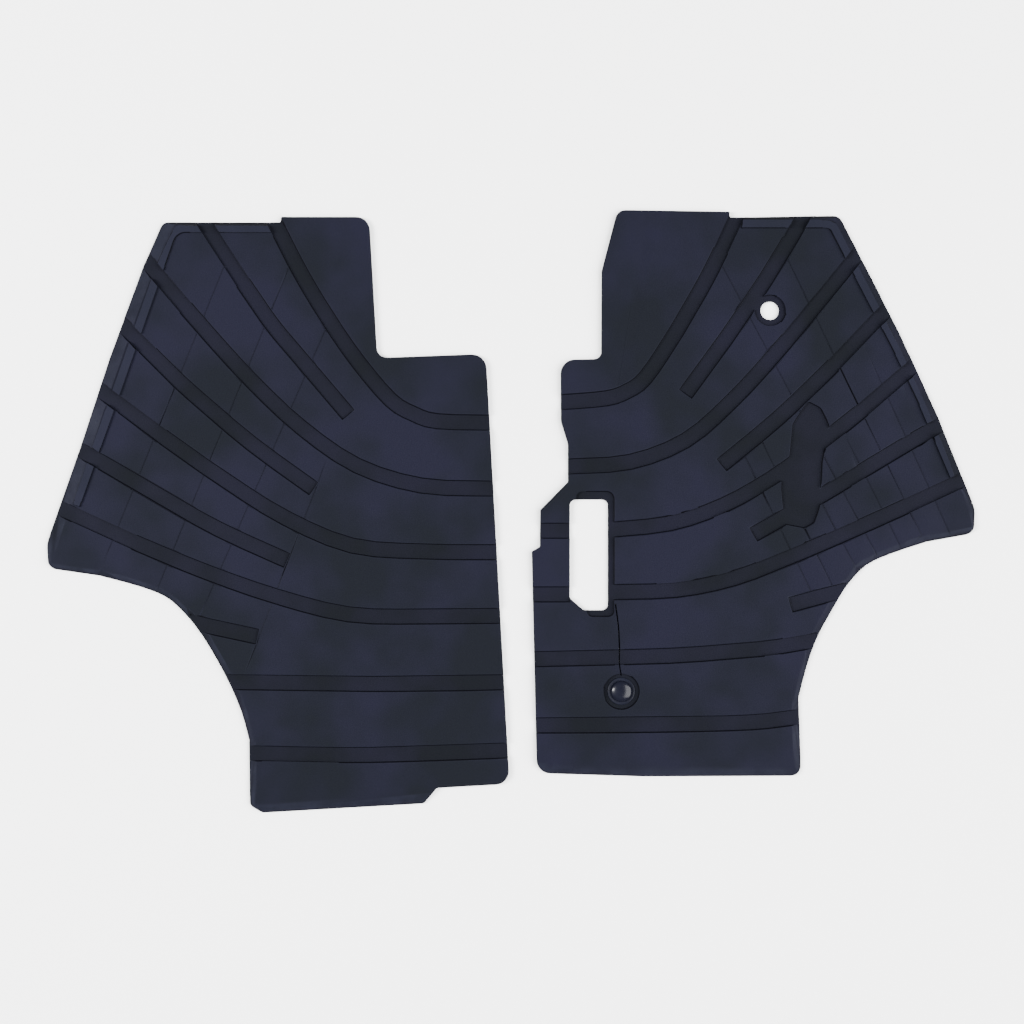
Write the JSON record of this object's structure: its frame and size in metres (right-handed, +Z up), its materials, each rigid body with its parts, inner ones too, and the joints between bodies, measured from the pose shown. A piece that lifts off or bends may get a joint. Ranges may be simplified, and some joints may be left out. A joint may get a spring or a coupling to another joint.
{
  "type": "floor mat set",
  "caption": "Pair of moulded rubber cab floor mats with curved drain channels, rim ribs, a lever slot with slit, a round hole and a push-in fixing stud.",
  "frame": {"origin": "on the cab floor, in the middle of the box round both mats", "axes": "+Z up out of the walking surface, +Y towards the front of the cab, +X towards the mat with the lever slot"},
  "size_m": [1.2548, 0.8147, 0.0125],
  "materials": {
    "moulded_rubber": "matt moulded rubber, dark blue-black, slightly mottled",
    "satin_plastic": "satin black moulded plastic",
    "glossy_plastic": "glossy black moulded plastic"
  },
  "bodies": {
    "left_mat": {"left_mat": "moulded_rubber"},
    "right_mat": {"right_mat": "moulded_rubber", "eyelet": "satin_plastic", "eyelet_washer": "satin_plastic"},
    "fixing_stud": {"fixing_stud": "glossy_plastic"}
  },
  "joints": [
    {"name": "right_mat_lift", "type": "slide", "parent": "left_mat", "child": "right_mat", "axis": [0, 0, 1], "range_m": [0, 0.2]},
    {"name": "stud_pull", "type": "slide", "parent": "right_mat", "child": "fixing_stud", "axis": [0, 0, 1], "range_m": [0, 0.015]}
  ]
}
